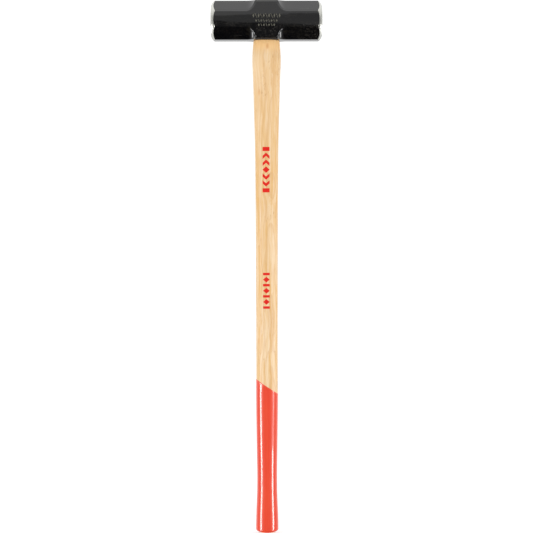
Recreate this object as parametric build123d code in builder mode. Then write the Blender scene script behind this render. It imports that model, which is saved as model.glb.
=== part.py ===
from build123d import *
from math import cos, hypot, radians, sin, sqrt
import os

# A long double-faced sledge hammer: forged octagonal head, oval hickory handle, wedged eye, dipped grip.
#
# Frame: +Z runs up the handle to the head, X runs along the head, and -Y is the stamped front.
# The origin is the lowest point of the butt, on the handle's axis. Units are millimetres.

os.makedirs("parts", exist_ok=True)

# ---------------------------------------------------------------- driving dimensions
OVERALL_LENGTH = 900.0
TENON_PROUD = 0.9  # the sawn tenon stands this far above the head

# Head: an octagonal bar whose corners stay square at the eye
HEAD_LENGTH = 190.0
HEAD_WIDTH = 66.0  # across the flats, both ways
FLAT_WIDTH = 27.3  # each of the four main flats, between the corner facets
CHEEK_HALF_LENGTH = 18.8  # the square corners reach this far from the middle
RUNOUT_RADIUS = 16.0  # each corner facet curves up to the square corner
BODY_EDGE_RADIUS = 5.0

# Turned ends: a crowned face inside a rounded bevel that cuts the octagon's corners
FACE_RADIUS = 26.0
CROWN_RADIUS = 210.0
BEVEL_RADIUS = 20.0
BEVEL_START_ANGLE = 18.0  # degrees between the bevel and the face, at the bevel's inner edge
BEVEL_END_ANGLE = 60.0  # the same, at its outer edge
BEVEL_EDGE_RADIUS = 0.6
TURNING_START = 10.0  # degrees from the top flat's middle, where each turned surface has its seam

# Eye: an oval hourglass, (full width along X, full depth along Y) at three levels
EYE_MOUTH = (42.0, 30.0)
EYE_WAIST = (38.0, 26.5)
EYE_CROWN = (43.0, 31.5)
EYE_WAIST_HEIGHT = 0.42  # of the way up through the head
MOUTH_EDGE_RADIUS = 2.2
CROWN_EDGE_RADIUS = 1.5

# Wooden wedge, along X, in a saw kerf that runs on below it
WOODEN_WEDGE_DEPTH = 48.0
WOODEN_WEDGE_THICK = 6.5
WOODEN_WEDGE_TIP = 1.4
KERF_DEPTH = 56.0

# Steel wedges, driven across it
STEEL_WEDGE_SPACING = 20.0
STEEL_WEDGE_DEPTH = 30.0
STEEL_WEDGE_WIDTH = 22.0
STEEL_WEDGE_THICK = 4.2
STEEL_WEDGE_TIP = 0.8
STEEL_WEDGE_SUNK = 0.4
STEEL_WEDGE_CHAMFER = 0.3
BARB_COUNT = 5
BARB_STEP = 0.35

# Handle: (height, half width along X, half depth along Y) of the bare wood, butt first
HANDLE_STATIONS = [
    (0.5, 18.6, 15.2),
    (16.0, 18.4, 15.2),
    (34.0, 17.95, 14.9),
    (58.0, 16.95, 14.4),
    (90.0, 16.3, 13.9),
    (140.0, 16.8, 13.9),
    (200.0, 17.7, 13.8),
    (280.0, 18.0, 14.0),
    (400.0, 18.15, 14.5),
    (500.0, 18.4, 14.9),
    (590.0, 19.1, 15.3),
    (670.0, 20.1, 15.8),
    (735.0, 22.0, 16.6),
    (775.0, 23.2, 17.2),
    (806.0, 24.0, 17.5),
    (832.9, 21.9, 16.5),
]
SHOULDER_EDGE_RADIUS = 0.6
BUTT_DOME_RADIUS = 38.0
BUTT_EDGE_RADIUS = 4.0
TENON_EDGE_CHAMFER = 0.8

# Dipped grip coating, with a slanting upper edge
COATING_THICK = 0.5
DIP_HEIGHT = 248.2  # of the edge, on the handle's axis
DIP_ANGLE = 34.0  # degrees, high on the -X side

# Stamped marks on the front cheek, lozenges and slanting bars by turns: (height above the head's
# middle, number of marks, pitch, height of a mark)
STAMP_ROWS = [(5.1, 11, 4.4, 8.2), (-3.5, 9, 4.3, 5.0), (-10.5, 7, 4.3, 5.0)]
STAMP_LOZENGE_WIDTH = 3.0
STAMP_BAR_WIDTH = 1.2
STAMP_BAR_SLANT = 24.0  # degrees
STAMP_DEPTH = 0.6

# ---------------------------------------------------------------- levels worked out from those
HEAD_TOP = OVERALL_LENGTH - TENON_PROUD
HEAD_BOTTOM = HEAD_TOP - HEAD_WIDTH
HEAD_MIDDLE = HEAD_TOP - HEAD_WIDTH / 2
EYE_WAIST_LEVEL = HEAD_BOTTOM + EYE_WAIST_HEIGHT * HEAD_WIDTH
FACET_DISTANCE = (HEAD_WIDTH + FLAT_WIDTH) / 2 / sqrt(2)
CROWN_DROP = CROWN_RADIUS - sqrt(CROWN_RADIUS**2 - FACE_RADIUS**2)
BEVEL_CENTRE = (
    HEAD_LENGTH / 2 - CROWN_DROP - BEVEL_RADIUS * cos(radians(BEVEL_START_ANGLE)),
    FACE_RADIUS - BEVEL_RADIUS * sin(radians(BEVEL_START_ANGLE)),
)
BUTT_LEVEL = HANDLE_STATIONS[0][0]
SHOULDER_LEVEL = HANDLE_STATIONS[-1][0]
STEEL_WEDGE_TOP = OVERALL_LENGTH - STEEL_WEDGE_SUNK
HEAD_AXIS = Axis((0, 0, HEAD_MIDDLE), (1, 0, 0))
HEAD_SECTION = Plane((0, 0, HEAD_MIDDLE), x_dir=(0, 1, 0), z_dir=(1, 0, 0))
HEAD_SIDE = Plane((0, 0, HEAD_MIDDLE), x_dir=(1, 0, 0), z_dir=(0, -1, 0))
FRONT_CHEEK = Plane((0, -HEAD_WIDTH / 2, HEAD_MIDDLE), x_dir=(1, 0, 0), z_dir=(0, -1, 0))
BEYOND = 40.0  # how far a cutting shape runs past what it cuts


# ---------------------------------------------------------------- shapes that several pieces share
def reach_from_axis(point):
    """How far a point is from the head's axis."""
    return hypot(point.Y, point.Z - HEAD_MIDDLE)


def oval_section(level, half_width, half_depth):
    """One level oval across the handle or the eye."""
    with BuildSketch(Plane.XY.offset(level)) as section:
        Ellipse(half_width, half_depth)
    return section.sketch


def oval_body(skin):
    """The handle from its domed butt to its shoulder, with a skin added to its sides and its butt."""
    sections = [
        oval_section(level, half_width + skin, half_depth + skin)
        for level, half_width, half_depth in HANDLE_STATIONS
    ]
    dome_centre = BUTT_LEVEL + BUTT_DOME_RADIUS
    above = Vector(0, OVERALL_LENGTH)
    with BuildPart() as body:
        loft(sections)
        if skin:
            extrude(body.faces().sort_by(Axis.Z)[0], amount=skin)
        with BuildSketch(Plane.XZ):
            with BuildLine():
                dome = CenterArc((0, dome_centre), BUTT_DOME_RADIUS + skin, -90, 90)
                Polyline(dome @ 1, (dome @ 1) + above, Vector(0, dome_centre) + above, dome @ 0)
            make_face()
        revolve(axis=Axis.Z, mode=Mode.INTERSECT)
        fillet(body.faces().sort_by(Axis.Z)[0].edges(), BUTT_EDGE_RADIUS + skin)
    return body.part


def taper_along_x():
    """The wooden wedge's taper, from the tenon's sawn end down, longer than the eye."""
    with BuildPart() as taper:
        with BuildSketch(Plane.YZ):
            with BuildLine():
                Polyline(
                    (-WOODEN_WEDGE_THICK / 2, OVERALL_LENGTH),
                    (-WOODEN_WEDGE_TIP / 2, OVERALL_LENGTH - WOODEN_WEDGE_DEPTH),
                    (WOODEN_WEDGE_TIP / 2, OVERALL_LENGTH - WOODEN_WEDGE_DEPTH),
                    (WOODEN_WEDGE_THICK / 2, OVERALL_LENGTH),
                    close=True,
                )
            make_face()
        extrude(amount=BEYOND, both=True)
    return taper.part


def barbed_taper(centre_x, top_level):
    """A steel wedge's taper along Y, whose two broad sides step in above each barb."""
    pitch = STEEL_WEDGE_DEPTH / BARB_COUNT
    growth = (STEEL_WEDGE_THICK - STEEL_WEDGE_TIP) / 2 / BARB_COUNT
    tip_level = STEEL_WEDGE_TOP - STEEL_WEDGE_DEPTH
    side = [(STEEL_WEDGE_TIP / 2, tip_level)]
    for barb in range(1, BARB_COUNT):
        half_thick = STEEL_WEDGE_TIP / 2 + growth * barb
        side.append((half_thick + BARB_STEP, tip_level + pitch * barb))
        side.append((half_thick, tip_level + pitch * barb))
    side.append((STEEL_WEDGE_THICK / 2, STEEL_WEDGE_TOP))
    if top_level > STEEL_WEDGE_TOP:
        side.append((STEEL_WEDGE_THICK / 2, top_level))
    right = [(centre_x + half_thick, level) for half_thick, level in side]
    left = [(centre_x - half_thick, level) for half_thick, level in reversed(side)]
    with BuildPart() as taper:
        with BuildSketch(Plane.XZ):
            with BuildLine():
                Polyline(*right, *left, close=True)
            make_face()
        extrude(amount=STEEL_WEDGE_WIDTH / 2, both=True)
    return taper.part


# the oval hourglass that the eye and the tenon share
eye_hourglass = loft(
    [
        oval_section(HEAD_BOTTOM, EYE_MOUTH[0] / 2, EYE_MOUTH[1] / 2),
        oval_section(EYE_WAIST_LEVEL, EYE_WAIST[0] / 2, EYE_WAIST[1] / 2),
        oval_section(HEAD_TOP, EYE_CROWN[0] / 2, EYE_CROWN[1] / 2),
    ]
)

# the tenon before it is kerfed: the hourglass and its sawn end above the head
with BuildPart() as tenon:
    add(eye_hourglass)
    with BuildSketch(Plane.XY.offset(HEAD_TOP)):
        Ellipse(EYE_CROWN[0] / 2, EYE_CROWN[1] / 2)
    extrude(amount=TENON_PROUD)
    chamfer(tenon.edges().group_by(Axis.Z)[-1], TENON_EDGE_CHAMFER)

# what is cut from the wood for the steel wedges
steel_wedge_places = {"left": -STEEL_WEDGE_SPACING / 2, "right": STEEL_WEDGE_SPACING / 2}
steel_wedge_slots = [barbed_taper(centre_x, OVERALL_LENGTH + BEYOND) for centre_x in steel_wedge_places.values()]


# ---------------------------------------------------------------- head
with BuildPart() as head:
    with BuildSketch(HEAD_SECTION):
        Rectangle(HEAD_WIDTH, HEAD_WIDTH)
    extrude(amount=HEAD_LENGTH / 2, both=True)

    # the four corners are planed down to facets, and each facet curves out at the cheek
    for turn in (45, 135, 225, 315):
        with BuildSketch(HEAD_SIDE.rotated((turn, 0, 0))):
            with BuildLine():
                centre = (CHEEK_HALF_LENGTH + RUNOUT_RADIUS, FACET_DISTANCE + RUNOUT_RADIUS)
                runout = CenterArc(centre, RUNOUT_RADIUS, 180, 90)
                Polyline(runout @ 1, (HEAD_LENGTH, FACET_DISTANCE), (HEAD_LENGTH, centre[1]), runout @ 0)
            make_face()
            mirror(about=Plane.YZ)
        extrude(amount=BEYOND, both=True, mode=Mode.SUBTRACT)
    long_edges = head.edges().filter_by(lambda edge: abs(edge.center().X) < HEAD_LENGTH / 2 - 1)
    fillet(long_edges, BODY_EDGE_RADIUS)

    # both ends are turned: a rounded bevel that cuts the octagon's corners, then a crowned face
    with BuildSketch(HEAD_SIDE.rotated((TURNING_START, 0, 0))):
        with BuildLine():
            bevel = CenterArc(BEVEL_CENTRE, BEVEL_RADIUS, 0, BEVEL_END_ANGLE)
            bevel_end = bevel @ 1
            inside = Polyline(bevel_end, (bevel_end.X, HEAD_WIDTH), (0, HEAD_WIDTH), (0, 0), (HEAD_LENGTH, 0))
            Polyline(inside @ 1, (HEAD_LENGTH, BEVEL_CENTRE[1]), bevel @ 0)
        make_face()
        mirror(about=Plane.YZ)
    revolve(axis=HEAD_AXIS, mode=Mode.INTERSECT)
    for side in (-1, 1):
        with Locations((side * (HEAD_LENGTH / 2 - CROWN_RADIUS), 0, HEAD_MIDDLE)):
            Sphere(CROWN_RADIUS, rotation=(0, 0, 90), mode=Mode.INTERSECT)
    bevel_faces = head.faces().filter_by(lambda face: face.geom_type in (GeomType.TORUS, GeomType.REVOLUTION))
    bevel_rims = bevel_faces.edges().filter_by(lambda edge: reach_from_axis(edge @ 0) > FACE_RADIUS + 1)
    fillet(bevel_rims.filter_by(GeomType.CIRCLE, reverse=True), BEVEL_EDGE_RADIUS)

    # the eye, with both its mouths rounded
    add(eye_hourglass, mode=Mode.SUBTRACT)
    eye_edges = head.edges().filter_by(lambda edge: edge.is_closed).filter_by(GeomType.BSPLINE)
    fillet(eye_edges.sort_by(Axis.Z)[0], MOUTH_EDGE_RADIUS)
    fillet(eye_edges.sort_by(Axis.Z)[-1], CROWN_EDGE_RADIUS)

    # the stamped marks
    with BuildSketch(FRONT_CHEEK):
        for row_height, count, pitch, height in STAMP_ROWS:
            for index in range(count):
                with Locations(((index - (count - 1) / 2) * pitch, row_height)):
                    if index % 2:
                        Rectangle(STAMP_BAR_WIDTH, height, rotation=STAMP_BAR_SLANT)
                    else:
                        half_width = STAMP_LOZENGE_WIDTH / 2
                        Polygon((0, height / 2), (half_width, 0), (0, -height / 2), (-half_width, 0))
    extrude(amount=-STAMP_DEPTH, mode=Mode.SUBTRACT)
head.part.label = "head"
export_step(head.part, "parts/head.step")


# ---------------------------------------------------------------- wedges
for side_name, centre_x in steel_wedge_places.items():
    with BuildPart() as steel_wedge:
        add(barbed_taper(centre_x, STEEL_WEDGE_TOP))
        chamfer(steel_wedge.edges().group_by(Axis.Z)[-1], STEEL_WEDGE_CHAMFER)
    steel_wedge.part.label = f"steel_wedge_{side_name}"
    export_step(steel_wedge.part, f"parts/{steel_wedge.part.label}.step")

with BuildPart() as wooden_wedge:
    add(taper_along_x())
    add(tenon.part, mode=Mode.INTERSECT)
    add(steel_wedge_slots, mode=Mode.SUBTRACT)
wooden_wedge.part.label = "wooden_wedge"
export_step(wooden_wedge.part, "parts/wooden_wedge.step")


# ---------------------------------------------------------------- handle
with BuildPart() as handle:
    add(oval_body(0))
    fillet(handle.faces().sort_by(Axis.Z)[-1].edges(), SHOULDER_EDGE_RADIUS)
    with BuildSketch(Plane.XY.offset(SHOULDER_LEVEL)):
        Ellipse(EYE_MOUTH[0] / 2, EYE_MOUTH[1] / 2)
    extrude(amount=HEAD_BOTTOM - SHOULDER_LEVEL)
    add(tenon.part)
    add(taper_along_x(), mode=Mode.SUBTRACT)
    with BuildSketch(Plane.XY.offset(OVERALL_LENGTH - KERF_DEPTH)):
        Rectangle(2 * BEYOND, WOODEN_WEDGE_TIP)
    extrude(amount=KERF_DEPTH, mode=Mode.SUBTRACT)
    add(steel_wedge_slots, mode=Mode.SUBTRACT)
handle.part.label = "handle"
export_step(handle.part, "parts/handle.step")


# ---------------------------------------------------------------- grip coating
with BuildPart() as grip_coating:
    add(oval_body(COATING_THICK))
    split(bisect_by=Plane.XY.offset(DIP_HEIGHT).rotated((0, DIP_ANGLE, 0)), keep=Keep.BOTTOM)
    add(handle.part, mode=Mode.SUBTRACT)
grip_coating.part.label = "grip_coating"
export_step(grip_coating.part, "parts/grip_coating.step")
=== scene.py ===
# Looks of the double-faced sledge hammer: lacquered head, hickory handle, dipped grip, printed
# marks. Everything is in metres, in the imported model's frame: +Z up the handle, X along the head,
# -Y the front. Materials work in millimetres.

import math

import bmesh
import bpy
import numpy as np
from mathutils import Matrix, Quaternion, Vector, noise


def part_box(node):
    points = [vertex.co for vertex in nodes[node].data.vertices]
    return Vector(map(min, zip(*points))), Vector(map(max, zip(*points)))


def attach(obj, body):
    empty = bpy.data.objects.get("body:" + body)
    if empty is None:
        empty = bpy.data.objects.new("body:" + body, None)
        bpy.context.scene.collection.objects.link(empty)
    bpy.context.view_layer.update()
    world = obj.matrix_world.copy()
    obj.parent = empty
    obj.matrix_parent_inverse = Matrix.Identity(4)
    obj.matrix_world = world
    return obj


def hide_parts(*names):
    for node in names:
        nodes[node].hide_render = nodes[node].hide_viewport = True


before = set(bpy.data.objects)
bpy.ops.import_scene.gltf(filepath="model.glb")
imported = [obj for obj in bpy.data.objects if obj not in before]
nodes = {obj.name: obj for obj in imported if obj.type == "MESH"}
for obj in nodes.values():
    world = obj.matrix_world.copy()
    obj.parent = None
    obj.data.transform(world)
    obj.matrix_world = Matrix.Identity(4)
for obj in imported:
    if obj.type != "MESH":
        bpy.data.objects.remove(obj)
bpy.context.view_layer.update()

MM = 0.001

# ---------------------------------------------------------------- places and sizes, from the CAD
HEAD_LOW, HEAD_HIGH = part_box("head")
HEAD_CENTRE = (HEAD_LOW + HEAD_HIGH) / 2
HALF_LENGTH = HEAD_HIGH.x
TENON_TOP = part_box("handle")[1].z
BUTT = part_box("handle")[0].z
COAT_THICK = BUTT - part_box("grip_coating")[0].z

# the turned ends, as in the CAD part
FACE_RADIUS = 26 * MM
CROWN_RADIUS = 210 * MM
BEVEL_RADIUS = 20 * MM
BEVEL_START = math.radians(18)

# the handle's ovals: (height, half width along X, half depth along Y), butt first
STATIONS = np.array([
    (0.5, 18.6, 15.2),
    (16.0, 18.4, 15.2),
    (34.0, 17.95, 14.9),
    (58.0, 16.95, 14.4),
    (90.0, 16.3, 13.9),
    (140.0, 16.8, 13.9),
    (200.0, 17.7, 13.8),
    (280.0, 18.0, 14.0),
    (400.0, 18.15, 14.5),
    (500.0, 18.4, 14.9),
    (590.0, 19.1, 15.3),
    (670.0, 20.1, 15.8),
    (735.0, 22.0, 16.6),
    (775.0, 23.2, 17.2),
    (806.0, 24.0, 17.5),
    (832.9, 21.9, 16.5),
]) * MM
SHOULDER = STATIONS[-1][0]
SHOULDER_EDGE = 0.6 * MM
BUTT_DOME = 38 * MM
BUTT_EDGE = 4 * MM
SIDE_START = 12 * MM  # the butt's rounding is below this height

# the eye's ovals, (half width, half depth), and the tenon that fills it
EYE_MOUTH = (21 * MM, 15 * MM)
EYE_WAIST = (19 * MM, 13.25 * MM)
EYE_CROWN = (21.5 * MM, 15.75 * MM)
EYE_WAIST_SHARE = 0.42  # of the way up through the head
TENON_GAP = 0.03 * MM  # between the tenon and the eye's wall
TENON_CHAMFER = 0.8 * MM
WEDGE_TIP_SHARE = 0.2  # of the thickness at the wedge's top
KERF_HALF_LENGTH = 30 * MM  # the saw kerf runs right through the tenon
ABOVE_TENON = 5 * MM  # how far the wedges' cutters stand past it

# what hand sanding leaves on the wood
SWELL_HEIGHT = 0.07 * MM
SWELL_LENGTH = 55 * MM
SWELLS_AROUND = 1.6
RIPPLE_HEIGHT = 0.02 * MM
RIPPLES_PER_SWELL = 2.7

# the dipped coating: its slanting edge wavers and is rounded, with a faint bead below it
DIP_HEIGHT = 248.2 * MM
DIP_ANGLE = math.radians(34)
WAVER_HEIGHT = 0.35 * MM
WAVERS_AROUND = 2.2
WAVER_SLICE = 7.3  # the level in the noise that the waver is read at
LIP_RISE = 0.9 * MM
BEAD_HEIGHT = 0.12 * MM
BEAD_DEPTH = 2.2 * MM
BEAD_SPREAD = 1.6 * MM
BODY_END = 6 * MM  # the coating is of even thickness up to this far below its edge
COAT_INSIDE = -0.06 * MM  # its inner skin lies just under the wood's surface

# the printed marks: the ink's two skins, above and below the wood's surface
INK_TOP = 0.035 * MM
INK_BOTTOM = -0.05 * MM
CHEVRON_STROKE = 0.52  # how thick a chevron's bars are, as a share of its length
# columns of marks from the bottom up, each (shape, width, length) in millimetres
LARGE_MARKS = (
    ("bar", 11.8, 7.0),
    ("chevron", 11.8, 10.8),
    ("chevron", 11.8, 10.8),
    ("diamond", 12.2, 11.2),
    ("chevron", 11.8, -10.8),
    ("chevron", 11.8, -10.8),
    ("bar", 11.8, 7.0),
)
SMALL_MARKS = (("bar", 11.4, 4.2), ("diamond", 11.6, 9.6)) * 3 + (("bar", 11.4, 4.2),)
# (piece, height of its middle, aside from the shaft's middle, pitch, marks)
MARK_COLUMNS = (
    ("printed_marks_upper", 614 * MM, -1.1 * MM, 11.6 * MM, LARGE_MARKS),
    ("printed_marks_lower", 410 * MM, -0.8 * MM, 9.4 * MM, SMALL_MARKS),
)

# ---------------------------------------------------------------- how finely the meshes are made
AROUND = 160  # points round the handle
TURNS = [2 * math.pi * i / AROUND for i in range(AROUND)]
BUTT_SHARES = np.linspace(0.08, 1, 14)
COAT_BUTT_SHARES = np.linspace(0.06, 1, 18)
SIDE_HEIGHTS = np.concatenate([np.arange(12, 826, 3.0), [826, 829, 831, 831.9]]) * MM
SHOULDER_STEPS = 6
TENON_RINGS = 24
COAT_RINGS = 84
COAT_INSIDE_RINGS = 40
LIP_LEVELS = (5, 4, 3.2, 2.6, 2, 1.5, 1.1, 0.8, 0.55, 0.35, 0.2, 0.1, 0.03, 0)  # mm below the edge
DIP_ROUNDS = 4  # of working out where the slanting edge meets the oval
INK_STEPS = 6
SAME_POINT = 1e-7  # points nearer than this are merged
SHARP_ANGLE = math.radians(32)  # edges steeper than this aren't smoothed


# ---------------------------------------------------------------- the handle's surface
def natural_spline(knots, values):
    """A smooth curve through the values, straight at both ends, as a function of height."""
    count = len(knots)
    gaps = np.diff(knots)
    slopes = np.diff(values) / gaps
    matrix = np.eye(count)
    right = np.zeros(count)
    for i in range(1, count - 1):
        matrix[i, i - 1 : i + 2] = gaps[i - 1], 2 * (gaps[i - 1] + gaps[i]), gaps[i]
        right[i] = 6 * (slopes[i] - slopes[i - 1])
    bends = np.linalg.solve(matrix, right)

    def at(height):
        i = int(np.clip(np.searchsorted(knots, height) - 1, 0, count - 2))
        gap = gaps[i]
        low, high = knots[i + 1] - height, height - knots[i]
        cubic = (bends[i] * low**3 + bends[i + 1] * high**3) / (6 * gap)
        low_part = (values[i] / gap - bends[i] * gap / 6) * low
        high_part = (values[i + 1] / gap - bends[i + 1] * gap / 6) * high
        return cubic + low_part + high_part

    return at


half_width_at = natural_spline(STATIONS[:, 0], STATIONS[:, 1])
half_depth_at = natural_spline(STATIONS[:, 0], STATIONS[:, 2])


def unevenness(turn, height):
    """The long shallow swells of sanded wood, less than a tenth of a millimetre high."""
    across = (math.cos(turn) * SWELLS_AROUND, math.sin(turn) * SWELLS_AROUND)
    point = Vector((*across, height / SWELL_LENGTH))
    swell = SWELL_HEIGHT * noise.noise(point)
    return swell + RIPPLE_HEIGHT * noise.noise(point * RIPPLES_PER_SWELL)


def oval_point(turn, height, half_width, half_depth, skin=0.0):
    """A point on an oval, moved outwards along its normal by a skin."""
    out = Vector((math.cos(turn) / half_width, math.sin(turn) / half_depth, 0)).normalized()
    place = Vector((half_width * math.cos(turn), half_depth * math.sin(turn), height))
    return place + out * skin


def oval_ring(height, half_width, half_depth, skin=0.0):
    return [oval_point(turn, height, half_width, half_depth, skin) for turn in TURNS]


def handle_point(turn, height, skin=0.0):
    """A point on the shaft's or the grip's surface, above the butt's rounding."""
    skin += unevenness(turn, height)
    return oval_point(turn, height, half_width_at(height), half_depth_at(height), skin)


def butt_point(turn, share, skin):
    """A point on the domed butt: share 0 is the middle, 1 is where the side begins."""
    side = handle_point(turn, SIDE_START, skin)
    reach = math.hypot(side.x, side.y)
    dome, edge = BUTT_DOME + skin, BUTT_EDGE + skin
    centre_reach = reach - edge
    centre_height = dome - math.sqrt((dome - edge) ** 2 - centre_reach**2)
    start = math.atan2(centre_reach, dome - centre_height)
    if share < 0.5:
        angle = 2 * share * start
        along, height = dome * math.sin(angle), dome - dome * math.cos(angle)
    else:
        angle = start + (2 * share - 1) * (math.pi / 2 - start)
        along = centre_reach + edge * math.sin(angle)
        height = centre_height - edge * math.cos(angle)
    scale = along / reach
    return Vector((side.x * scale, side.y * scale, BUTT - skin + height))


def butt_rings(shares, skin):
    return [[butt_point(turn, share, skin) for turn in TURNS] for share in shares]


# ---------------------------------------------------------------- mesh helpers
def finish_mesh(name, work):
    """An object with smooth faces, whose edges stay sharp where two faces meet steeply."""
    for face in work.faces:
        face.smooth = True
    for edge in work.edges:
        edge.smooth = len(edge.link_faces) == 2 and edge.calc_face_angle(0) < SHARP_ANGLE
    mesh = bpy.data.meshes.new(name)
    work.to_mesh(mesh)
    work.free()
    piece = bpy.data.objects.new(name, mesh)
    bpy.context.scene.collection.objects.link(piece)
    return piece


def closed_tube(name, rings, first_tip=None, last_tip=None):
    """A mesh from rings of points, each end closed by a fan to a tip or by one flat face."""
    work = bmesh.new()
    rows = [[work.verts.new(point) for point in ring] for ring in rings]
    for low, high in zip(rows, rows[1:]):
        for i in range(len(low)):
            j = (i + 1) % len(low)
            work.faces.new((low[i], low[j], high[j], high[i]))
    for row, tip, flip in ((rows[0], first_tip, True), (rows[-1], last_tip, False)):
        if tip is None:
            work.faces.new(row[::-1] if flip else row)
            continue
        centre = work.verts.new(tip)
        for i in range(len(row)):
            pair = (row[i], row[(i + 1) % len(row)])
            work.faces.new((*(pair[::-1] if flip else pair), centre))
    bmesh.ops.recalc_face_normals(work, faces=work.faces[:])
    return finish_mesh(name, work)


def cut(piece, cutters):
    """Takes the cutters out of the piece, then removes them."""
    for cutter in cutters:
        modifier = piece.modifiers.new("cut", "BOOLEAN")
        modifier.operation = "DIFFERENCE"
        modifier.solver = "EXACT"
        modifier.object = cutter
    ready = piece.evaluated_get(bpy.context.evaluated_depsgraph_get())
    work = bmesh.new()
    work.from_mesh(ready.to_mesh())
    name = piece.name
    for old in (piece, *cutters):
        bpy.data.objects.remove(old)
    return finish_mesh(name, work)


def prism(name, outline, half_length, along_x):
    """A cutter: an outline of (thickness, height) points, extruded both ways along X or Y."""
    work = bmesh.new()
    ends = []
    for reach in (-half_length, half_length):
        corners = [
            (reach, thick, height) if along_x else (thick, reach, height)
            for thick, height in outline
        ]
        ends.append([work.verts.new(corner) for corner in corners])
    for i in range(len(outline)):
        j = (i + 1) % len(outline)
        work.faces.new((ends[0][i], ends[0][j], ends[1][j], ends[1][i]))
    work.faces.new(ends[0][::-1])
    work.faces.new(ends[1])
    bmesh.ops.recalc_face_normals(work, faces=work.faces[:])
    return finish_mesh(name, work)


# ---------------------------------------------------------------- handle
def wedge_slot(name, node, along_x):
    """A cutter shaped like a wedge node, standing past the tenon's top."""
    low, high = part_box(node)
    axis = 1 if along_x else 0
    middle, half_top = (low[axis] + high[axis]) / 2, (high[axis] - low[axis]) / 2
    half_tip = half_top * WEDGE_TIP_SHARE
    above = TENON_TOP + ABOVE_TENON
    outline = [
        (middle - half_tip, low.z),
        (middle + half_tip, low.z),
        (middle + half_top, high.z),
        (middle + half_top, above),
        (middle - half_top, above),
        (middle - half_top, high.z),
    ]
    half_length = KERF_HALF_LENGTH if along_x else (high.y - low.y) / 2
    return prism(name, outline, half_length, along_x)


def shoulder_rings():
    """The handle's rounded edge under the head."""
    rings = []
    for step in range(1, SHOULDER_STEPS + 1):
        angle = step / SHOULDER_STEPS * math.pi / 2
        inset = SHOULDER_EDGE * (1 - math.cos(angle))
        height = SHOULDER - SHOULDER_EDGE * (1 - math.sin(angle))
        rings.append(oval_ring(height, *STATIONS[-1][1:], -inset))
    return rings


def tenon_rings():
    """The tenon, a little clear of the hourglass eye and chamfered at its top."""
    waist = HEAD_LOW.z + EYE_WAIST_SHARE * (HEAD_HIGH.z - HEAD_LOW.z)
    levels = [HEAD_LOW.z, waist, HEAD_HIGH.z]
    widths = np.polyfit(levels, [EYE_MOUTH[0], EYE_WAIST[0], EYE_CROWN[0]], 2)
    depths = np.polyfit(levels, [EYE_MOUTH[1], EYE_WAIST[1], EYE_CROWN[1]], 2)
    rings = [oval_ring(SHOULDER, *EYE_MOUTH)]
    for height in np.linspace(HEAD_LOW.z, HEAD_HIGH.z, TENON_RINGS):
        half_width, half_depth = np.polyval(widths, height), np.polyval(depths, height)
        rings.append(oval_ring(height, half_width, half_depth, -TENON_GAP))
    rings.append(oval_ring(TENON_TOP - TENON_CHAMFER, *EYE_CROWN))
    rings.append(oval_ring(TENON_TOP, *EYE_CROWN, -TENON_CHAMFER))
    return rings


def build_handle():
    rings = butt_rings(BUTT_SHARES, 0)
    rings += [[handle_point(turn, height) for turn in TURNS] for height in SIDE_HEIGHTS]
    rings += shoulder_rings() + tenon_rings()
    blank = closed_tube("hickory_handle", rings, first_tip=(0, 0, BUTT))
    slots = [
        wedge_slot("slot_a", "wooden_wedge", True),
        wedge_slot("slot_b", "steel_wedge_left", False),
        wedge_slot("slot_c", "steel_wedge_right", False),
    ]
    return cut(blank, slots)


# ---------------------------------------------------------------- dipped grip coating
def dip_height(turn):
    """The height of the coating's slanting edge, with the slight waver of a dipped edge."""
    height = DIP_HEIGHT
    for _ in range(DIP_ROUNDS):
        height = DIP_HEIGHT - math.tan(DIP_ANGLE) * handle_point(turn, height).x
    across = (math.cos(turn) * WAVERS_AROUND, math.sin(turn) * WAVERS_AROUND)
    return height + WAVER_HEIGHT * noise.noise(Vector((*across, WAVER_SLICE)))


def lip_thickness(below):
    """How thick the coating is, that far below its edge: a rounded lip, then a faint bead."""
    bead = BEAD_HEIGHT * math.exp(-(((below - BEAD_DEPTH) / BEAD_SPREAD) ** 2))
    if below >= LIP_RISE:
        return COAT_THICK + bead
    return (COAT_THICK + bead) * math.sqrt(1 - (1 - below / LIP_RISE) ** 2)


def build_coating():
    tops = [dip_height(turn) for turn in TURNS]

    def side_ring(share, below, skin):
        """A ring that share of the way up from the butt to a line below the slanting edge."""
        return [
            handle_point(turn, SIDE_START + share * (top - below - SIDE_START), skin)
            for turn, top in zip(TURNS, tops)
        ]

    rings = butt_rings(COAT_BUTT_SHARES, COAT_THICK)
    rings += [side_ring(share, BODY_END, COAT_THICK) for share in np.linspace(0, 1, COAT_RINGS)]
    rings += [side_ring(1, below * MM, lip_thickness(below * MM)) for below in LIP_LEVELS]
    rings += [side_ring(share, 0, COAT_INSIDE) for share in np.linspace(1, 0, COAT_INSIDE_RINGS)]
    rings += butt_rings(BUTT_SHARES[::-1], COAT_INSIDE)
    return closed_tube("grip_lacquer", rings, (0, 0, 0), (0, 0, BUTT - COAT_INSIDE))


# ---------------------------------------------------------------- printed marks on the shaft
def front_point(across, height, skin):
    """A point on the front of the shaft, that far across from its middle."""
    turn = -math.acos(across / half_width_at(height))
    return handle_point(turn, height, skin)


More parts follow.
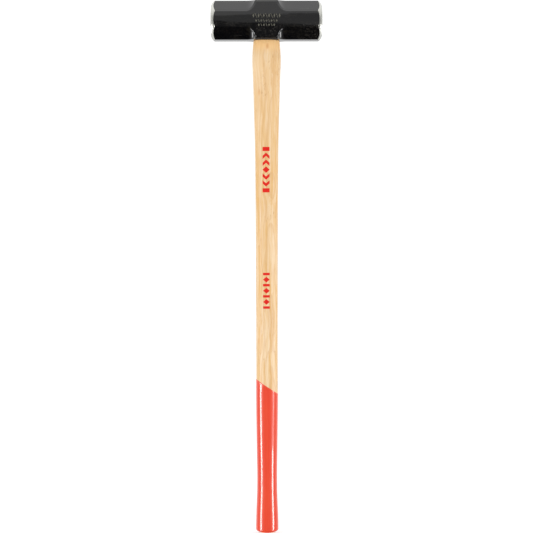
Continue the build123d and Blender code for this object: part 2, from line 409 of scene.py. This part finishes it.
def ink_patch(work, corners):
    """A thin slab of ink on the shaft's front, over four corners given as (across, height)."""
    first, second, third, fourth = [Vector(corner) for corner in corners]

    def grid(skin):
        rows = []
        for i in range(INK_STEPS + 1):
            low, high = first.lerp(second, i / INK_STEPS), fourth.lerp(third, i / INK_STEPS)
            places = [low.lerp(high, j / INK_STEPS) for j in range(INK_STEPS + 1)]
            rows.append([work.verts.new(front_point(*place, skin)) for place in places])
        return rows

    top, bottom = grid(INK_TOP), grid(INK_BOTTOM)
    for rows in (top, bottom):
        for i in range(INK_STEPS):
            for j in range(INK_STEPS):
                low, high = rows[i], rows[i + 1]
                work.faces.new((low[j], high[j], high[j + 1], low[j + 1]))
    for k in range(INK_STEPS):
        for near, far in (
            ((k, 0), (k + 1, 0)),
            ((k, INK_STEPS), (k + 1, INK_STEPS)),
            ((0, k), (0, k + 1)),
            ((INK_STEPS, k), (INK_STEPS, k + 1)),
        ):
            rim = [rows[i][j] for rows, (i, j) in ((top, near), (top, far), (bottom, far))]
            work.faces.new((*rim, bottom[near[0]][near[1]]))


def bar(middle, width, length):
    low, high = middle - length / 2, middle + length / 2
    return [[(-width / 2, low), (width / 2, low), (width / 2, high), (-width / 2, high)]]


def diamond(middle, width, length):
    low, high = middle - length / 2, middle + length / 2
    return [[(0, low), (width / 2, middle), (0, high), (-width / 2, middle)]]


def chevron(middle, width, length):
    """Two slanting bars that meet at the bottom; a negative length points it up."""
    tip, tail = middle - length / 2, middle + length / 2
    lift = length * CHEVRON_STROKE
    return [
        [(0, tip), (side * width / 2, tail - lift), (side * width / 2, tail), (0, tip + lift)]
        for side in (-1, 1)
    ]


SHAPES = {"bar": bar, "diamond": diamond, "chevron": chevron}


def build_marks(name, middle, aside, pitch, marks):
    """A column of marks centred on a height, a little to one side of the shaft's middle."""
    work = bmesh.new()
    for index, (shape, width, length) in enumerate(marks):
        place = middle + (index - (len(marks) - 1) / 2) * pitch
        for corners in SHAPES[shape](place, width * MM, length * MM):
            ink_patch(work, [(across + aside, height) for across, height in corners])
    bmesh.ops.remove_doubles(work, verts=work.verts[:], dist=SAME_POINT)
    bmesh.ops.recalc_face_normals(work, faces=work.faces[:])
    return finish_mesh(name, work)


# ---------------------------------------------------------------- node helpers
class Value:
    """A number that varies over a surface. Arithmetic on it adds math nodes to its tree."""

    def __init__(self, tree, socket):
        self.tree = tree
        self.socket = socket

    def __add__(self, other):
        return calc("ADD", self, other)

    def __radd__(self, other):
        return calc("ADD", other, self)

    def __sub__(self, other):
        return calc("SUBTRACT", self, other)

    def __rsub__(self, other):
        return calc("SUBTRACT", other, self)

    def __mul__(self, other):
        return calc("MULTIPLY", self, other)

    def __truediv__(self, other):
        return calc("DIVIDE", self, other)

    def __abs__(self):
        return calc("ABSOLUTE", self)

    def __lt__(self, other):
        return calc("LESS_THAN", self, other)

    def __gt__(self, other):
        return calc("GREATER_THAN", self, other)


def feed(tree, socket, value):
    """Sets a socket to a number or a colour, or links it to a value or another socket."""
    if isinstance(value, Value):
        value = value.socket
    if isinstance(value, bpy.types.NodeSocket):
        tree.links.new(value, socket)
    else:
        socket.default_value = value


def add_node(tree, kind, inputs=None, **settings):
    made = tree.nodes.new(kind)
    for key, value in settings.items():
        setattr(made, key, value)
    for key, value in (inputs or {}).items():
        feed(tree, made.inputs[key], value)
    return made


def calc(operation, *numbers):
    """A math node over numbers, at least one of them a Value."""
    tree = next(number.tree for number in numbers if isinstance(number, Value))
    made = add_node(tree, "ShaderNodeMath", dict(enumerate(numbers)), operation=operation)
    return Value(tree, made.outputs[0])


def root(value):
    return calc("SQRT", value)


def fraction(value):
    return calc("FRACT", value)


def largest(first, second):
    return calc("MAXIMUM", first, second)


def hypotenuse(*sides):
    squares = [side * side for side in sides]
    return root(sum(squares[1:], squares[0]))


def rises(value, low, high):
    """0 below the low level and 1 above the high one, with a smooth step between."""
    inputs = {"Value": value, "From Min": low, "From Max": high}
    kind = "ShaderNodeMapRange"
    made = add_node(value.tree, kind, inputs, interpolation_type="SMOOTHSTEP")
    return Value(value.tree, made.outputs["Result"])


def falls(value, low, high):
    """1 below the low level and 0 above the high one, with a smooth step between."""
    return 1.0 - rises(value, low, high)


def parts_of(tree, vector):
    """A vector's x, y and z."""
    made = add_node(tree, "ShaderNodeSeparateXYZ", {"Vector": vector})
    return [Value(tree, output) for output in made.outputs]


def srgb(red, green, blue):
    """A colour as it is named on a screen, turned linear."""
    parts = [part / 255 for part in (red, green, blue)]
    return tuple(
        part / 12.92 if part <= 0.04045 else ((part + 0.055) / 1.055) ** 2.4 for part in parts
    )


class Surface:
    """A new material, and the place of the point it shades, in millimetres."""

    def __init__(self, name):
        self.material = bpy.data.materials.new(name)
        self.material.use_nodes = True
        self.tree = self.material.node_tree
        self.tree.nodes.clear()
        self.shader = self.tree.nodes.new("ShaderNodeBsdfPrincipled")
        output = self.tree.nodes.new("ShaderNodeOutputMaterial")
        self.tree.links.new(self.shader.outputs["BSDF"], output.inputs["Surface"])
        metres = self.tree.nodes.new("ShaderNodeTexCoord").outputs["Object"]
        self.place = self.join("SCALE", {"Vector": metres, "Scale": 1 / MM})
        self.x, self.y, self.z = parts_of(self.tree, self.place)

    def join(self, operation, inputs):
        """A vector node's result."""
        made = add_node(self.tree, "ShaderNodeVectorMath", inputs, operation=operation)
        return made.outputs["Vector"]

    def vector(self, x, y, z):
        made = add_node(self.tree, "ShaderNodeCombineXYZ", {"X": x, "Y": y, "Z": z})
        return made.outputs["Vector"]

    def grain(self, scale, detail=3.0, roughness=0.5, place=None):
        """Noise over a place, with a scale per millimetre along each axis."""
        start = self.place if place is None else place
        inputs = {
            "Vector": self.join("MULTIPLY", {0: start, 1: scale}),
            "Scale": 1.0,
            "Detail": detail,
            "Roughness": roughness,
        }
        made = add_node(self.tree, "ShaderNodeTexNoise", inputs)
        return Value(self.tree, made.outputs["Fac"])

    def patches(self, scale, low, high, **settings):
        """Noise turned into patches: nothing below the low level, full above the high one."""
        return rises(self.grain(scale, **settings), low, high)

    def mix(self, share, first, second):
        """A colour that share of the way from the first to the second."""
        made = add_node(self.tree, "ShaderNodeMix", data_type="RGBA")
        feed(self.tree, made.inputs["Factor"], share)
        for socket, colour in ((made.inputs[6], first), (made.inputs[7], second)):
            linked = isinstance(colour, bpy.types.NodeSocket)
            feed(self.tree, socket, colour if linked else (*colour, 1))
        return made.outputs[2]

    def set(self, name, value):
        feed(self.tree, self.shader.inputs[name], value)

    def relief(self, height, unit=MM, name="Normal"):
        """Bumps of that height, in units of so many metres."""
        made = add_node(self.tree, "ShaderNodeBump", {"Height": height, "Distance": unit})
        self.set(name, made.outputs["Normal"])


# ---------------------------------------------------------------- the head's material
LACQUER = srgb(5, 5, 6)
LACQUER_BLOOM = srgb(20, 18, 15)
DIRT = srgb(56, 52, 46)
SCRATCH = srgb(74, 72, 68)
WAX = srgb(92, 90, 78)
STEEL_LIGHT = srgb(220, 220, 212)
STEEL_DARK = srgb(188, 188, 180)
STEEL_RINGS = srgb(165, 165, 163)

LACQUER_EDGE = (0.22, 0.34)  # mm under the turned surface, where the lacquer begins
EDGE_WAVER = 0.35  # mm that this edge wanders
ROWS_MIDDLE = -2.0  # the stamped rows' height from the head's middle
ROWS_HALF_HEIGHT = 12.0
ROWS_HALF_WIDTH = 26.0
ROWS_DEPTH = 1.5  # deeper than any mark
UNDERSIDE = (31.4, 32.6)  # mm below the head's middle, where its underside begins
UNDERSIDE_HALF_LENGTH = 19.0


def ground_share(surface, reach, along):
    """1 on the turned faces and bevels, which are ground bright, and 0 on the lacquer."""
    crown, face, bevel = CROWN_RADIUS / MM, FACE_RADIUS / MM, BEVEL_RADIUS / MM
    crown_centre = HALF_LENGTH / MM - crown
    crown_level = root(crown**2 - reach * reach) + crown_centre
    face_level = crown_centre + math.sqrt(crown**2 - face**2)
    bevel_reach = reach - (face - bevel * math.sin(BEVEL_START))
    bevel_height = root(largest(0.0, bevel**2 - bevel_reach * bevel_reach))
    bevel_level = bevel_height + (face_level - bevel * math.cos(BEVEL_START))
    level = crown_level + (reach > face) * (bevel_level - crown_level)
    waver = (surface.grain((0.35, 0.35, 0.35)) - 0.5) * EDGE_WAVER
    return falls(level - along + waver, *LACQUER_EDGE)


def head_material():
    """Gloss black lacquer over forged steel; the turned faces and bevels are ground bright."""
    surface = Surface("lacquered_head")
    height = surface.z - HEAD_CENTRE.z / MM
    below = height * -1.0
    along = abs(surface.x)
    reach = hypotenuse(surface.y, height)
    bright = ground_share(surface, reach, along)

    # lacquer: black with a faint brown bloom, forging swells, orange peel and rougher patches
    swell = surface.grain((0.02, 0.04, 0.04), detail=1.0)
    peel = surface.grain((0.55, 0.8, 0.8))
    rough_patch = surface.patches((0.022, 0.03, 0.03), 0.5, 0.62, detail=2.0)
    bloom = surface.patches((0.05, 0.12, 0.12), 0.55, 0.75, detail=4.0)
    black = surface.mix(bloom, LACQUER, LACQUER_BLOOM)

    # dirt, thickest low on the right-hand barrel, then low on the cheek and on the left flat
    handled = rises(surface.x, 22.0, 78.0) * rises(below, 0.0, 12.0)
    low_cheek = rises(below, 6.0, 16.0) * falls(along, 15.0, 21.0)
    left_flat = rises(below, 2.0, 8.0) * falls(below, 12.0, 14.5) * falls(surface.x, -30.0, -22.0)
    for zone, share in ((rough_patch, 0.3), (low_cheek, 0.8), (left_flat, 0.7)):
        handled = largest(handled, zone * share)
    speck = surface.patches((0.36, 0.36, 0.36), 0.48, 0.62, detail=4.0, roughness=0.8)
    clump = surface.patches((0.14, 0.2, 0.14), 0.36, 0.56, roughness=0.7)
    speck = speck * clump * handled
    black = surface.mix(speck * 0.55, black, DIRT)
    scratch = surface.patches((0.035, 0.6, 1.1), 0.66, 0.74, roughness=0.6)
    black = surface.mix(scratch * 0.45, black, SCRATCH)

    # dust and wax in the stamped marks: whatever is sunk under the front, inside the rows
    depth = surface.y - HEAD_LOW.y / MM
    stamped = rises(depth, 0.15, 0.4) * (depth < ROWS_DEPTH) * (along < ROWS_HALF_WIDTH)
    stamped = stamped * (abs(height - ROWS_MIDDLE) < ROWS_HALF_HEIGHT)
    black = surface.mix(stamped, black, WAX)

    # ground steel: fine rings round the axis, crossed by a few scratches
    from_axis = surface.vector(reach, 0.0, 0.0)
    rings = surface.grain((5.0, 1.0, 1.0), detail=4.0, roughness=0.7, place=from_axis)
    rings = rings * rises(reach, 0.5, 7.0)
    scuffs = surface.grain((2.0, 0.25, 0.6), detail=4.0, roughness=0.65)
    cloud = surface.grain((0.08, 0.08, 0.08))
    steel = surface.mix(cloud * 0.8, STEEL_LIGHT, STEEL_DARK)
    steel = surface.mix(rings * 0.5, steel, STEEL_RINGS)

    surface.set("Base Color", surface.mix(bright, black, steel))
    surface.set("Metallic", bright)
    underneath = rises(below, *UNDERSIDE) * (along < UNDERSIDE_HALF_LENGTH)
    lacquer_rough = 0.022 + peel * 0.02
    for mask, share in ((rough_patch, 0.02), (stamped, 0.5), (speck, 0.3), (underneath, 0.9)):
        lacquer_rough = lacquer_rough + mask * share
    steel_rough = 0.16 + scuffs * 0.18
    surface.set("Roughness", lacquer_rough + bright * (steel_rough - lacquer_rough))
    surface.set("Specular IOR Level", 0.55)

    lacquer_relief = swell * 0.08 + peel * (0.004 + rough_patch * 0.012)
    steel_relief = rings * 0.012 + scuffs * 0.008
    surface.relief((1.0 - bright) * lacquer_relief + bright * steel_relief)
    return surface.material


# ---------------------------------------------------------------- the wood's materials
WOOD_LIGHT = srgb(231, 207, 172)
WOOD_OCHRE = srgb(216, 171, 104)
WOOD_LINE = srgb(201, 147, 84)
WOOD_PORE = srgb(174, 112, 54)
# painted shade: the warmer orange tint for the wood just under the head
UNDER_HEAD_PAINTED_SHADE = srgb(248, 199, 134)
SAWN_END = srgb(206, 158, 96)
SAWN_RING = srgb(168, 112, 58)
# painted sheen: the paler, whiter tone for the left of the shoulder
LEFT_PAINTED_SHEEN = srgb(240, 218, 184)
KNOT = srgb(208, 142, 76)

RING_WIDTH = 2.7
PITH_AT_BUTT = (-14.0, 62.0)  # the pith's x and y
PITH_SLOPE = (0.012, -0.021)  # how they change up the handle
KNOT_STRETCH = 0.45  # knots are longer along the grain
# (place in mm, size in mm, depth of colour)
KNOTS = (
    ((1.5, -17.4, 822.0), 2.2, 0.6),
    ((-13.0, -14.5, 744.0), 2.4, 0.45),
    ((-15.0, -9.5, 325.0), 2.4, 0.5),
)


def wood(surface):
    """Hickory: long wandering streaks, faint rings round a far-off pith, and short pores in
    clusters. Gives the colour, the early wood in the rings, the fibre and the pores."""
    wander = surface.grain((0.03, 0.03, 0.012))
    sway = surface.grain((0.012, 0.012, 0.011), detail=1.0)
    wander_width = 13.0 + rises(surface.z, 690.0, 800.0) * 12.0
    shift = surface.vector(wander * wander_width, sway * 12.0, 0.0)
    place = surface.join("ADD", {0: surface.place, 1: shift})
    x, y, z = parts_of(surface.tree, place)
    gap_x = x - (z * PITH_SLOPE[0] + PITH_AT_BUTT[0])
    gap_y = y - (z * PITH_SLOPE[1] + PITH_AT_BUTT[1])
    ring = fraction(hypotenuse(gap_x, gap_y) / RING_WIDTH)
    early = rises(ring, 0.0, 0.08) * falls(ring, 0.12, 0.6)

    broad = surface.patches((0.14, 0.14, 0.005), 0.34, 0.66, detail=2.0, place=place)
    streak = surface.patches((0.55, 0.55, 0.012), 0.38, 0.64, roughness=0.55, place=place)
    fibre = surface.grain((3.4, 3.4, 0.05), place=place)
    cluster = surface.patches((0.05, 0.05, 0.016), 0.46, 0.62, detail=2.0, place=place)
    pores = surface.patches((0.9, 0.9, 0.11), 0.6, 0.74, detail=2.0, place=place)

    # the lower shaft is paler sapwood; the upper has softer streaks and more pores
    upper = rises(z, 600.0, 700.0)
    lower = falls(z, 330.0, 430.0)
    tone = broad * (0.55 - upper * 0.25) + streak * 0.5 - lower * 0.16
    tone = tone * (1.0 - upper * 0.25) + (0.07 + upper * 0.1)
    pores = pores * (0.1 + cluster * 0.55) * (1.0 + upper * 0.5)
    colour = surface.mix(tone, WOOD_LIGHT, WOOD_OCHRE)
    colour = surface.mix(early * 0.3, colour, WOOD_LINE)
    colour = surface.mix((fibre - 0.4) * 0.45, colour, WOOD_LINE)
    return surface.mix(pores, colour, WOOD_PORE), early, fibre, pores


def handle_material():
    surface = Surface("hickory")
    x, y, z = surface.x, surface.y, surface.z
    colour, early, fibre, pores = wood(surface)

    # painted shade: a warmer orange tint close under the head, where the head shades the wood
    under_head_painted_shade = rises(z, 806.0, 832.0) * falls(z, 836.0, 842.0)
    colour = surface.mix(under_head_painted_shade * 0.75, colour, UNDER_HEAD_PAINTED_SHADE)
    # a little darker on the tenon's sawn end, with its rings plain
    sawn = rises(z, TENON_TOP / MM - 0.6, TENON_TOP / MM - 0.1)
    colour = surface.mix(sawn * 0.35, colour, SAWN_END)
    colour = surface.mix(sawn * early * 0.75, colour, SAWN_RING)
    # painted sheen: paler, whiter wood on the left of the shoulder, in place of a lamp's sheen
    left_painted_sheen = falls(x, -14.0, 0.0) * rises(z, 735.0, 785.0) * falls(z, 800.0, 825.0)
    colour = surface.mix(left_painted_sheen * 0.3, colour, LEFT_PAINTED_SHEEN)
    # small knots on the front
    for spot, size, depth in KNOTS:
        distance = hypotenuse(x - spot[0], y - spot[1], (z - spot[2]) * KNOT_STRETCH)
        knot = falls(distance, size * 0.3, size * 1.5)
        colour = surface.mix(knot * depth, colour, KNOT)

    surface.set("Base Color", colour)
    surface.set("Roughness", 0.42 + fibre * 0.14)
    surface.set("Specular IOR Level", 0.4)
    surface.relief(pores * -0.06 + fibre * 0.018 - early * 0.02)
    return surface.material


def wedge_wood_material():
    """A darker sawn hardwood, whose rings run across the wedge."""
    surface = Surface("wedge_wood")
    ring = fraction(surface.x * 0.42 + surface.grain((0.2, 0.2, 0.05)))
    band = rises(ring, 0.05, 0.9)
    saw = surface.grain((0.3, 5.0, 2.0))
    colour = surface.mix(band, srgb(150, 100, 62), srgb(196, 146, 98))
    surface.set("Base Color", surface.mix(saw * 0.4, colour, srgb(120, 78, 46)))
    surface.set("Roughness", 0.6 + saw * 0.2)
    surface.relief(saw, 0.06 * MM)
    return surface.material


# ---------------------------------------------------------------- other materials
def wedge_steel_material():
    """Mild steel, dulled, bruised on top by the hammer that drove it."""
    surface = Surface("wedge_steel")
    bruise = surface.grain((0.9, 0.9, 0.9), detail=4.0)
    dull = surface.patches((0.35, 0.35, 0.35), 0.4, 0.7, detail=4.0)
    surface.set("Base Color", surface.mix(dull, srgb(168, 167, 165), srgb(112, 106, 100)))
    surface.set("Metallic", 1.0)
    surface.set("Roughness", 0.3 + dull * 0.25)
    surface.relief(bruise, 0.35 * MM)
    return surface.material


def coating_material():
    """Dipped red lacquer: the wood's grain shows through it as faint streaks."""
    surface = Surface("red_lacquer")
    streak = surface.patches((0.45, 0.45, 0.01), 0.38, 0.72, detail=4.0, roughness=0.6)
    cloud = surface.patches((0.05, 0.05, 0.02), 0.35, 0.7, detail=2.0)
    fibre = surface.grain((1.1, 1.1, 0.02))
    colour = surface.mix(streak * 0.55, srgb(227, 56, 11), srgb(230, 76, 30))
    surface.set("Base Color", surface.mix(cloud * 0.35, colour, srgb(221, 51, 11)))
    surface.set("Roughness", 0.35)
    surface.set("Coat Weight", 1.0)
    surface.set("Coat Roughness", 0.045)
    surface.set("Coat IOR", 1.58)
    relief = fibre * 0.02 + streak * 0.01
    surface.relief(relief)
    surface.relief(relief, 0.14 * MM, "Coat Normal")
    return surface.material


def ink_material():
    """Red printing ink, a little thin where the grain is open."""
    surface = Surface("red_ink")
    thin = surface.patches((2.6, 2.6, 0.12), 0.52, 0.75)
    surface.set("Base Color", surface.mix(thin * 0.5, srgb(212, 18, 2), srgb(218, 54, 22)))
    surface.set("Roughness", 0.45 + thin * 0.2)
    surface.set("Specular IOR Level", 0.25)
    surface.relief(thin, 0.02 * MM)
    return surface.material


def floor_material():
    surface = Surface("pale_floor")
    fleck = surface.grain((0.03, 0.03, 0.03), detail=2.0)
    surface.set("Base Color", surface.mix(fleck, (0.6, 0.6, 0.6), (0.64, 0.64, 0.64)))
    surface.set("Roughness", 0.9)
    surface.set("Emission Color", (1, 1, 1, 1))
    surface.set("Emission Strength", 0.5)
    return surface.material


def dress(piece, material):
    """Gives a piece one material; a CAD node's mesh keeps its slots."""
    if piece.data.materials:
        for index in range(len(piece.data.materials)):
            piece.material_slots[index].material = material
    else:
        piece.data.materials.append(material)


# ---------------------------------------------------------------- the hammer
dress(nodes["head"], head_material())
dress(nodes["wooden_wedge"], wedge_wood_material())
steel = wedge_steel_material()
dress(nodes["steel_wedge_left"], steel)
dress(nodes["steel_wedge_right"], steel)

handle = build_handle()
dress(handle, handle_material())
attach(handle, "root")
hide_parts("handle")

coating = build_coating()
dress(coating, coating_material())
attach(coating, "root")
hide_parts("grip_coating")

ink = ink_material()
for name, middle, aside, pitch, marks in MARK_COLUMNS:
    printed = build_marks(name, middle, aside, pitch, marks)
    dress(printed, ink)
    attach(printed, "root")


# ---------------------------------------------------------------- floor
FLOOR_RADIUS = 4.0


def build_floor():
    """A round floor that casts no shadow and isn't seen in reflections."""
    work = bmesh.new()
    bmesh.ops.create_circle(work, cap_ends=True, segments=96, radius=FLOOR_RADIUS)
    floor = finish_mesh("floor", work)
    dress(floor, floor_material())
    floor.visible_glossy = False
    floor.visible_shadow = False


# ---------------------------------------------------------------- the tent round the hammer
BACKDROP = 1.08  # how bright the white tent is to the camera
MATT_LIGHT = 0.78  # and for matt surfaces, which three lamps light too
ZENITH_GLOW = 1.6  # and for glossy ones: straight up, and in front
FRONT_GLOW = 0.11
# and behind, in bands of (upward part of the direction, glow), where the tent's panels meet
BACK_BANDS = (
    (-1.0, 0.9),
    (-0.06, 0.9),
    (-0.03, 0.55),
    (0.115, 0.55),
    (0.13, 1.1),
    (0.155, 1.1),
    (0.17, 0.5),
    (0.215, 0.5),
    (0.235, 1.0),
    (1.0, 1.0),
)
BRIGHTEST_BAND = 1.25  # the ramp's colours are shares of this


def build_world():
    """A white tent to the camera; in reflections, dim in front and black underneath."""
    world = bpy.data.worlds.new("studio")
    bpy.context.scene.world = world
    world.use_nodes = True
    tree = world.node_tree
    tree.nodes.clear()
    direction = tree.nodes.new("ShaderNodeTexCoord").outputs["Generated"]
    backward, upward = parts_of(tree, direction)[1:]
    bands = add_node(tree, "ShaderNodeValToRGB", {"Fac": 0.5 + upward * 0.5})
    stops = bands.color_ramp.elements
    while len(stops) < len(BACK_BANDS):
        stops.new(0.5)
    for stop, (height, glow) in zip(stops, BACK_BANDS):
        stop.position = 0.5 + height / 2
        stop.color = (*[glow / BRIGHTEST_BAND] * 3, 1)
    back = Value(tree, bands.outputs["Color"]) * BRIGHTEST_BAND
    level = FRONT_GLOW + rises(backward, -0.1, 0.45) * (back - FRONT_GLOW)
    level = level + rises(upward, 0.12, 0.9) * (ZENITH_GLOW - level)
    level = level * rises(upward, -0.97, -0.45)
    path = tree.nodes.new("ShaderNodeLightPath").outputs
    glossy = Value(tree, path["Is Glossy Ray"]) * (level - MATT_LIGHT)
    seen = Value(tree, path["Is Camera Ray"]) * (BACKDROP - MATT_LIGHT)
    inputs = {"Color": (1, 1, 1, 1), "Strength": MATT_LIGHT + (glossy + seen)}
    background = add_node(tree, "ShaderNodeBackground", inputs)
    output = tree.nodes.new("ShaderNodeOutputWorld")
    tree.links.new(background.outputs["Background"], output.inputs["Surface"])


# ---------------------------------------------------------------- lamps
# tall strips at both sides: (side, name, distance, width, lower end, upper end, radiance)
STRIP_ANGLE = math.radians(57.5)  # from straight in front
STRIPS = (
    (-1, "left_strip", 1.5, 0.34, -0.55, 0.5, 14.0),
    (1, "right_strip", 1.5, 0.2, -0.4, 0.5, 2.8),
    (1, "right_low_strip", 1.46, 0.36, -0.55, -0.02, 12.0),
    (1, "right_mid_strip", 1.54, 0.42, 0.12, 0.5, 9.0),
)
# low cards at both sides, for the curved facet ends beside the cheek, placed from the head's middle
LOW_CARD_DIRECTION = (0.84, 0.3, -0.45)
LOW_CARD_DISTANCE = 1.1
LOW_CARD_SIZE = (0.35, 0.22)
LOW_CARD_RADIANCE = 5.0
# small cards behind the head, for its bevels
EDGE_CARD = (0.44, 0.32, 0.83)
EDGE_CARD_AIM = 0.855  # the height each is turned to, at the head's end
EDGE_CARD_SIZE = (0.3, 0.05)
EDGE_CARD_RADIANCE = 4.5
EDGE_CARD_ROLL = math.radians(11)
# panels close in front of the head: (name, lower edge, roll in degrees, radiance, further out)
PANEL_DISTANCE = 0.25
PANEL_TOP = 1.26
PANEL_WIDTH = 0.9
PANELS = (
    ("front_panel_low", 0.8888, -2.7, 0.42, 0.0),
    ("front_panel_high", 0.9058, 1.5, 0.57, 0.01),
)
# fills that only matt surfaces see: (name, place, width, height, radiance)
FILL_AIM = (0, 0, 0.5)
FILLS = (
    ("front_fill", (0, -2.4, 0.5), 2.2, 1.2, 1.0),
    ("left_fill", (-1.88, -0.68, 0.5), 1.2, 1.2, 2.5),
    ("right_fill", (1.88, -0.68, 0.5), 1.2, 1.2, 2.5),
)


def softbox(name, place, aim, width, height, radiance, roll=0.0, matt=False):
    """A rectangular lamp, seen either in reflections only or by matt surfaces only."""
    data = bpy.data.lights.new(name, "AREA")
    data.shape = "RECTANGLE"
    data.size = width
    data.size_y = height
    data.energy = radiance * math.pi * width * height
    lamp = bpy.data.objects.new(name, data)
    lamp.location = place
    facing = (Vector(aim) - Vector(place)).to_track_quat("-Z", "Y")
    lamp.rotation_euler = (facing @ Quaternion((0, 0, 1), roll)).to_euler()
    lamp.visible_camera = False
    lamp.visible_diffuse = matt
    lamp.visible_glossy = not matt
    bpy.context.scene.collection.objects.link(lamp)


def build_lamps():
    for side, name, distance, width, low, high, radiance in STRIPS:
        level = (low + high) / 2
        across, forward = distance * math.sin(STRIP_ANGLE), distance * math.cos(STRIP_ANGLE)
        softbox(name, (side * across, -forward, level), (0, 0, level), width, high - low, radiance)
    for side, word in ((-1, "left"), (1, "right")):
        x, y, z = LOW_CARD_DIRECTION
        place = HEAD_CENTRE + Vector((side * x, y, z)) * LOW_CARD_DISTANCE
        softbox(word + "_low_card", place, HEAD_CENTRE, *LOW_CARD_SIZE, LOW_CARD_RADIANCE)
        x, y, z = EDGE_CARD
        place, aim = (side * x, y, z), (side * HALF_LENGTH, 0, EDGE_CARD_AIM)
        roll = side * EDGE_CARD_ROLL
        softbox(word + "_edge_card", place, aim, *EDGE_CARD_SIZE, EDGE_CARD_RADIANCE, roll)
    for name, low, roll, radiance, step in PANELS:
        level, height = (low + PANEL_TOP) / 2, PANEL_TOP - low
        place = (0, -PANEL_DISTANCE - step, level)
        softbox(name, place, (0, 0, level), PANEL_WIDTH, height, radiance, math.radians(roll))
    softbox("overhead", (0, -0.75, 2.3), HEAD_CENTRE, 1.6, 0.7, 0.6)
    for name, place, width, height, radiance in FILLS:
        softbox(name, place, FILL_AIM, width, height, radiance, matt=True)


# ---------------------------------------------------------------- camera
CAMERA_DISTANCE = 3.0
CAMERA_ASIDE = -0.6 * MM
CAMERA_HEIGHT = 0.4509
CAMERA_ROLL = math.radians(0.09)
VIEW_WIDTH = 0.902  # across the picture, at the hammer
SENSOR = 36.0


def build_camera():
    data = bpy.data.cameras.new("camera")
    data.sensor_width = SENSOR
    data.lens = SENSOR * CAMERA_DISTANCE / VIEW_WIDTH
    camera = bpy.data.objects.new("camera", data)
    camera.location = (CAMERA_ASIDE, -CAMERA_DISTANCE, CAMERA_HEIGHT)
    camera.rotation_euler = (math.pi / 2, CAMERA_ROLL, 0)
    bpy.context.scene.collection.objects.link(camera)
    bpy.context.scene.camera = camera


build_floor()
build_world()
build_camera()
build_lamps()
bpy.context.scene.view_settings.view_transform = "Standard"
